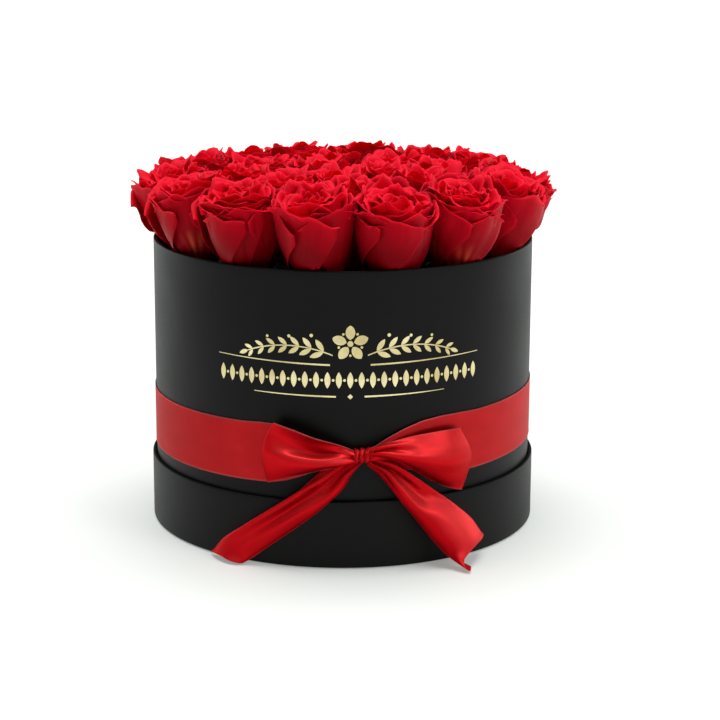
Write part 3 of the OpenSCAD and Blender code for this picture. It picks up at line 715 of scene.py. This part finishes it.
def petal(rng, outer, nu, nv, phi, half, narrow, r0, z0, big_r, high, t0, lip, roll, close, kappa, ruffle, crumple, drop, tip):
    """One petal as a grid of points in the rose's own frame, in mm. It climbs the head's bell shape, then its lip
    curls outward on a radius of lip, through roll degrees."""
    u = np.linspace(-1, 1, nu)[:, None]
    v = (np.linspace(0, 1, nv) ** 0.9)[None, :]
    x01, v01 = (u + 1) / 2 + 0 * v, v + 0 * u
    bend = 0.80 if outer else 0.72
    t = t0 + (1 - t0) * np.clip(v / bend, 0, 1)
    s = np.clip((v - bend) / (1 - bend), 0, 1)
    peak = rng.uniform(-0.18, 0.18)
    outline = (1 - drop * np.abs(u) ** 2.4 + tip * np.exp(-((u - peak) / 0.24) ** 2)
               + 0.030 * noise2(rng, x01, 0 * x01, 5, 1) + 0.024 * noise2(rng, x01, 0 * x01, 15, 1))
    if outer:
        r = np.interp(t, HEAD_T, HEAD_R) * big_r + 0 * u
    else:
        r = r0 + (big_r - r0) * (1 - (1 - t) ** 2.0) + 0 * u
    z = z0 + (high * outline - z0) * t
    wide = narrow + (1 - narrow) * np.clip(t / 0.88, 0, 1) ** 1.1
    a = phi + u * half * wide + rng.uniform(-0.14, 0.14) * t
    r = r * (1 - close * np.clip((t - 0.5) / 0.5, 0, 1) ** 2)
    # the lip
    curl = np.radians(roll) * (0.62 + 0.38 * np.abs(u) ** 0.7 + 0.22 * noise2(rng, x01, 0 * x01, 4, 1))
    rho = lip * (1 + 0.55 * np.exp(-((u - peak) / 0.28) ** 2) + 0.30 * noise2(rng, x01, 0 * x01, 3, 1))
    r = r + rho * (1 - np.cos(s * curl))
    z = z + rho * np.sin(s * curl)
    # one side tucked in, the other out
    r = r * (1 + kappa * u)
    side = np.clip((np.abs(u) - 0.62) / 0.38, 0, 1) ** 2 * np.clip((t - 0.08) / 0.3, 0, 1)
    r = r + side * np.where(u > 0, 1.3, 0.35)
    # ruffles and crumpling, strongest at the lip
    k1, k2 = rng.uniform(2.0, 3.2), rng.uniform(4.4, 6.4)
    p1, p2 = rng.uniform(0, 6.28, 2)
    rise = np.clip((t - 0.3) / 0.7, 0, 1) ** 2 * (1 + 0.35 * s)
    r = r + ruffle * rise * (np.sin(k1 * u * 2 + p1) + 0.3 * np.sin(k2 * u * 2 + p2))
    z = z + 0.8 * ruffle * rise * np.sin(k2 * u * 1.5 + p1)
    r = r + (0.5 if outer else 0.7) * noise2(rng, x01, v01, 3, 3) * (0.2 + 0.8 * rise)
    r = r + crumple * (0.30 * noise2(rng, x01, v01, 11, 3) + 0.9 * noise2(rng, x01, v01, 6, 4)) * ((0.03 if outer else 0.12) + rise)
    z = z + crumple * 0.9 * noise2(rng, x01, v01, 6, 3) * rise
    if outer:   # soft lengthwise folds
        r = r + 0.55 * noise2(rng, x01, v01, 7, 1.4) * np.clip(t * 1.6, 0, 1)
    r = np.maximum(r, 0.4)
    p = np.stack([r * np.cos(a), r * np.sin(a), z + 0 * u], -1)
    return p, u + 0 * v, v01


# from the outside in: petals, radius, height, half width in degrees, narrowness at the base, lip radius, curl in
# degrees, closing, ruffle, crumple, drop at the corners
LAYERS = [
    (5, 24.2, 47.0, 66, 0.26, 2.4, 84, 0.00, 0.7, 0.7, 0.17),
    (5, 21.6, 48.2, 70, 0.34, 2.8, 84, 0.00, 0.8, 0.9, 0.12),
    (5, 17.6, 48.8, 72, 0.70, 4.2, 92, 0.02, 1.1, 1.7, 0.11),
    (5, 13.6, 49.0, 74, 0.75, 4.2, 88, 0.05, 1.1, 1.9, 0.11),
    (4, 9.4, 49.4, 86, 0.80, 3.8, 80, 0.08, 1.0, 1.8, 0.10),
    (3, 5.6, 49.4, 112, 0.88, 2.6, 62, 0.12, 0.7, 1.3, 0.08),
    (3, 2.9, 48.8, 140, 0.95, 1.0, 32, 0.16, 0.3, 0.5, 0.05),
]


def rose(name, node, place, seed, size, tall=1.0, facing=None, warm=0.0, shade=0.45):
    rng = np.random.default_rng(seed)
    verts, quads, uvs, lip_highlights, tones, dries, painted_shades, base = [], [], [], [], [], [], [], 0
    spin = rng.uniform(0, 2 * math.pi)
    if facing is not None:
        spin = math.radians(facing - 90)
    k = 0
    off = rng.uniform(-1.2, 1.2, 2)
    for li, (count, big_r, high, half, narrow, lip, roll, close, ruffle, crumple, drop) in enumerate(LAYERS):
        for i in range(count):
            phi = spin + (0.628, 0)[li == 0] * 1.0 + max(li - 1, 0) * 0.75 + 2 * math.pi * (i + rng.uniform(-0.13, 0.13)) / count
            outer = li < 2
            nu, nv = (31, 22) if outer else (25, 16)
            r_k = big_r * size * rng.uniform(0.965, 1.035)
            p, u, v = petal(rng, outer, nu, nv, phi, math.radians(half * rng.uniform(0.92, 1.08)), narrow,
                            8.6 if outer else max(big_r * 0.55, 1.5), 0.4 + 0.25 * li if outer else 18.0,
                            r_k, high + rng.uniform(-1.4, 1.0), 0.0 if outer else 0.15,
                            lip * rng.uniform(0.75, 1.25), roll * rng.uniform(0.75, 1.15), close,
                            rng.uniform(0.04, 0.07) if li < 5 else 0.10,
                            ruffle * rng.uniform(0.7, 1.3), crumple, drop * rng.uniform(0.8, 1.3), rng.uniform(0.01, 0.045))
            p[..., 0] += off[0] * (1 - big_r / 25)
            p[..., 1] += off[1] * (1 - big_r / 25)
            thin = 1 - 0.55 * np.clip((v - 0.75) / 0.25, 0, 1) - 0.2 * np.clip((np.abs(u) - 0.7) / 0.3, 0, 1)
            sv, sq, at = shell(p, 0.42 * thin)
            verts.append(sv)
            quads.append(sq + base)
            base += len(sv)
            uvs.append(np.stack([(u.ravel() + 1) / 2 + k * 0.37, v.ravel() + k * 0.61], 1)[at])
            # painted highlight weight along the lip
            lip_highlights.append((np.clip((v - 0.80) / 0.20, 0, 1) ** 1.5 * (0.42 if outer else 0.55)).ravel()[at])
            # painted shade weight, strongest low on the outer petals and in the hollow of the inner ones
            painted_shades.append((shade * (0.95, 0.90)[li] * np.clip((1.0 - v) / 0.58, 0, 1) ** 0.62 if outer else 0.75 * np.clip((0.66 - v) / 0.3, 0, 1)).ravel()[at])
            dry = rng.uniform(0.3, 0.9) if outer and rng.random() < 0.22 else 0.0
            spot = np.exp(-((u - rng.uniform(-0.5, 0.5)) / 0.35) ** 2)
            dries.append((dry * spot * np.clip((v - 0.84) / 0.16, 0, 1) ** 1.5).ravel()[at])
            glow = warm if outer else 0.0
            tones.append((glow * np.clip(1 - np.abs(v - 0.27) / 0.20, 0, 1) * np.clip(1.2 - np.abs(u - 0.1) / 0.5, 0, 1)
                          * (0.5 + 0.5 * np.sin(u * 14 + 3 * v + k))).ravel()[at])
            k += 1
    v = np.concatenate(verts)
    v[:, 2] *= tall
    m = np.array(place)
    v = v @ m[:3, :3].T + m[:3, 3]
    # petals press against the inside of the box below its rim
    far = np.hypot(v[:, 0], v[:, 1])
    room = np.interp(v[:, 2], [RIM_Z + 0.6, RIM_Z + 2.2, RIM_Z + 2.3], [BODY_R - 3.5, BODY_R + 6, 1000])
    v[:, :2] *= np.where(far > room, room / np.maximum(far, 1), 1)[:, None]
    ob = make(name, v, np.concatenate(quads), PETAL, "arrangement", np.concatenate(uvs),
              {"lip": np.concatenate(lip_highlights), "tone": np.concatenate(tones), "dry": np.concatenate(dries), "deep": np.concatenate(painted_shades)})
    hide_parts(node)
    return ob


def jitter(rng, m, nod=0.0, tilt=2.5):
    """Each head is turned a little on its calyx, at the frame's origin."""
    return (m @ Matrix.Rotation(math.radians(nod + rng.uniform(-tilt, tilt)), 4, "X")
            @ Matrix.Rotation(math.radians(rng.uniform(-tilt, tilt)), 4, "Y"))


rng0 = np.random.default_rng(2024)
for i in range(14):
    turn = OUTER_TURN + i * 360 / 14
    back = 0.5 - 0.5 * math.cos(math.radians(turn))
    m = jitter(rng0, stand(OUTER_R, OUTER_LEAN, turn), nod=-9.5 * back ** 2 - 5.5 * (1 - back) ** 3)
    # which way the outermost petals face: 0 is a petal square to the front, 36 is two petals meeting there
    facing = {0: -12, 1: 28, 2: 46, 13: 48, 12: -14, 11: 30, 3: 30}.get(i)
    # the last argument sets how strong the painted shade is, halved on the back heads
    rose("rose_head_outer_%02d" % (i + 1), "rose_outer_%02d" % (i + 1), m, 100 + i, rng0.uniform(0.98, 1.03),
         rng0.uniform(0.985, 1.02) * (1 - 0.055 * back), facing, {12: 0.9, 2: 0.45, 7: 0.4}.get(i, 0.0), 1.0 - 0.5 * back)
for i in range(8):
    turn = MIDDLE_TURN + i * 360 / 8
    back = 0.5 - 0.5 * math.cos(math.radians(turn))
    m = jitter(rng0, stand(MIDDLE_R, MIDDLE_LEAN, turn))
    rose("rose_head_middle_%02d" % (i + 1), "rose_middle_%02d" % (i + 1), m, 200 + i, rng0.uniform(0.97, 1.02),
         rng0.uniform(1.025, 1.05) - 0.045 * back)
for i in range(3):
    m = jitter(rng0, stand(CENTRE_R, 0, CENTRE_TURN + i * 360 / 3))
    rose("rose_head_centre_%02d" % (i + 1), "rose_centre_%02d" % (i + 1), m, 300 + i, rng0.uniform(0.86, 0.90), rng0.uniform(1.015, 1.045))

# ------------------------------------------------------------------ sepals and stems

STANDS = ([stand(OUTER_R, OUTER_LEAN, OUTER_TURN + i * 360 / 14) for i in range(14)]
          + [stand(MIDDLE_R, MIDDLE_LEAN, MIDDLE_TURN + i * 360 / 8) for i in range(8)]
          + [stand(CENTRE_R, 0, CENTRE_TURN + i * 360 / 3) for i in range(3)])


def calyx(rng):
    """A five-lobed cup and its five sepals, curling out under the petals, in the rose's own frame."""
    ang = np.linspace(0, 2 * math.pi, 41)[:-1]
    spin = rng.uniform(0, 2 * math.pi)
    cup = [(0.3, -9.0), (2.4, -9.0), (2.9, -8.4), (3.4, -7.6), (4.0, -6.6), (5.0, -5.2), (6.2, -3.6), (7.2, -2.2), (8.0, -0.9),
           (8.0, -0.1), (7.2, -0.4), (0.3, -0.8)]
    v, q = lathe(cup, ang, lambda a, r, z: r * 0.035 * np.cos(5 * (a - spin)) * np.clip((z + 9) / 4, 0, 1))
    verts, quads, base = [v], [q], len(v)
    for k in range(5):
        u = np.linspace(-1, 1, 9)[:, None]
        t = np.linspace(0, 1, 15)[None, :]
        reach = rng.uniform(0.85, 1.05)
        r = np.interp(t, [0, 0.15, 0.35, 0.55, 0.75, 0.9, 1], [7.0, 8.4, 10.8, 13.4, 15.6, 16.8, 17.2])
        z = np.interp(t, [0, 0.15, 0.35, 0.55, 0.75, 0.9, 1], [-2.6, -1.4, -0.9, -0.8, -2.2, -4.6, -6.4])
        r = 7.0 + (r - 7.0) * reach + 0 * u
        wide = 3.6 * np.interp(t, [0, 0.2, 0.6, 0.9, 1], [1.0, 1.05, 0.7, 0.25, 0.04])
        side = u * wide + 0.5 * np.sin(3 * t + k) + 0.25 * rng.uniform(-1, 1, (1, 15))
        z = z + 0.5 * np.abs(u) ** 1.5 + 0.2 * noise2(rng, (u + 1) / 2 + 0 * t, t + 0 * u, 3, 5)
        a = spin + 2 * math.pi * (k + rng.uniform(-0.06, 0.06)) / 5
        p = np.stack([r * math.sin(a) + side * math.cos(a), -r * math.cos(a) + side * math.sin(a), z + 0 * u], -1)
        sv, sq, _ = shell(p, 0.5 - 0.25 * t + 0 * u)
        verts.append(sv)
        quads.append(sq + base)
        base += len(sv)
    return np.concatenate(verts), np.concatenate(quads)


def stem(rng):
    """A cut stem: a slightly uneven rod with two or three leaf scars, in the rose's own frame."""
    nu, nz = 15, 49
    a = np.linspace(0, 2 * math.pi, nu)[:-1][:, None]
    z = np.linspace(-9.05, -77.0, nz)[None, :]
    t = (z + 9.05) / -67.95
    r = 2.18 + 0.05 * np.sin(5 * a + 3 * t) + 0.05 * noise2(rng, a / 6.3 + 0 * t, t + 0 * a, 5, 12)
    for _ in range(3):
        r = r + 0.10 * np.exp(-((t - rng.uniform(0.1, 0.9)) / 0.012) ** 2)
    r = np.minimum(r, 2.3)
    r = np.concatenate([0.02 + 0 * r[:, :1], r, 0.02 + 0 * r[:, :1]], 1)
    z = np.concatenate([z[:, :1], z, z[:, -1:] - 0.15], 1) + 0 * a
    return np.stack([r * np.cos(a), r * np.sin(a), z], -1).reshape(-1, 3), grid_quads(nu - 1, nz + 2, True)[:, ::-1]


for name, node, slot, material, one, seed in (("calyx_sepals", "calyxes", "calyx", CALYX, calyx, 71),
                                              ("cut_stems", "rose_stems", "stem", STEM, stem, 72)):
    rng = np.random.default_rng(seed)
    vs, qs, base = [], [], 0
    for place in STANDS:
        v, q = one(rng)
        m = np.array(place)
        v = v @ m[:3, :3].T + m[:3, 3]
        vs.append(v)
        qs.append(q + base)
        base += len(v)
    ob = make(name, np.concatenate(vs), np.concatenate(qs), material, "arrangement")
    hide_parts(node)

# ------------------------------------------------------------------ floor, light, camera

fm, nt, b = nodes_of("floor_white")
far = nt.nodes.new("ShaderNodeVectorMath")
far.operation = "LENGTH"
nt.links.new(coords(nt, (0.5, 0.5, 0.5)), far.inputs[0])
# painted contact shadow: the floor is darker and greener near the box, lighter further out
nt.links.new(ramp(nt, far.outputs["Value"], [(0.10, (0.65, 0.68, 0.665)), (0.40, (0.74, 0.75, 0.745)), (0.95, (0.82, 0.82, 0.82))]), b.inputs["Base Color"])
b.inputs["Roughness"].default_value = 0.55
b.inputs["Specular IOR Level"].default_value = 0.2
b.inputs["Emission Color"].default_value = (0.965, 1.0, 0.97, 1)
b.inputs["Emission Strength"].default_value = 0.26
me = bpy.data.meshes.new("floor")
me.from_pydata([(-9, -9, -0.0004), (9, -9, -0.0004), (9, 9, -0.0004), (-9, 9, -0.0004)], [], [(0, 1, 2, 3)])
me.materials.append(fm)
floor = bpy.data.objects.new("floor", me)
bpy.context.scene.collection.objects.link(floor)

scene = bpy.context.scene
world = bpy.data.worlds.new("studio")
scene.world = world
world.use_nodes = True
wt = world.node_tree
bg = wt.nodes["Background"]
bg.inputs[0].default_value = (0.96, 0.98, 0.97, 1)
bg.inputs[1].default_value = 0.15
backdrop = wt.nodes.new("ShaderNodeBackground")
backdrop.inputs[0].default_value = (1, 1, 1, 1)
backdrop.inputs[1].default_value = 1.0
seen = wt.nodes.new("ShaderNodeLightPath")
blend = wt.nodes.new("ShaderNodeMixShader")
wt.links.new(seen.outputs["Is Camera Ray"], blend.inputs[0])
wt.links.new(bg.outputs[0], blend.inputs[1])
wt.links.new(backdrop.outputs[0], blend.inputs[2])
wt.links.new(blend.outputs[0], wt.nodes["World Output"].inputs[0])


def area(name, where, aim, size, power, colour=(1, 1, 1), shape="RECTANGLE", size_y=None):
    l = bpy.data.lights.new(name, "AREA")
    l.shape = shape
    l.size = size
    if size_y:
        l.size_y = size_y
    l.energy = power
    l.color = colour
    o = bpy.data.objects.new(name, l)
    o.location = where
    o.rotation_euler = (Vector(aim) - Vector(where)).to_track_quat("-Z", "Y").to_euler()
    scene.collection.objects.link(o)
    return o


top = bpy.data.lights.new("overhead_scrim", "SUN")
top.energy = 3.3
top.angle = math.radians(48)
top.color = (1, 0.995, 0.98)
to = bpy.data.objects.new("overhead_scrim", top)
to.rotation_euler = Vector((0.02, -0.11, -1)).to_track_quat("-Z", "Y").to_euler()
scene.collection.objects.link(to)
area("right_softbox", (1.25, -1.15, 1.15), (0, 0, 0.10), 0.6, 8.5, (1, 0.99, 0.98), size_y=0.7)
area("left_softbox", (-1.7, -0.2, 0.8), (0, 0, 0.12), 0.8, 1.5, (0.95, 0.98, 1.0), size_y=1.0)
area("rim_left", (-1.7, 1.5, 0.5), (0, 0, 0.10), 1.1, 9, (0.91, 1, 0.95), size_y=0.9)
area("rim_right", (1.8, 1.4, 0.5), (0, 0, 0.10), 1.1, 9, (0.91, 1, 0.95), size_y=0.9)

# camera fitted to the object's own frame
f_px, pitch, roll, swing = 2108.4, 0.2454, 0.0042, math.radians(-2.6)
right = Vector((math.cos(swing), math.sin(swing), 0))
ahead = Vector((-math.sin(swing) * math.cos(pitch), math.cos(swing) * math.cos(pitch), -math.sin(pitch)))
up = right.cross(ahead)
r2 = right * math.cos(roll) + up * math.sin(roll)
u2 = up * math.cos(roll) - right * math.sin(roll)
cam = bpy.data.cameras.new("camera")
cam.sensor_width = 36
cam.lens = f_px / 720 * 36
cam.clip_end = 60
co = bpy.data.objects.new("camera", cam)
rot = Matrix((r2, u2, -ahead)).transposed()
co.matrix_world = Matrix.Translation((-0.05077, -1.37321, 0.446625)) @ rot.to_4x4()
scene.collection.objects.link(co)
scene.camera = co
scene.view_settings.view_transform = "Standard"
scene.view_settings.look = "None"
scene.cycles.use_denoising = True
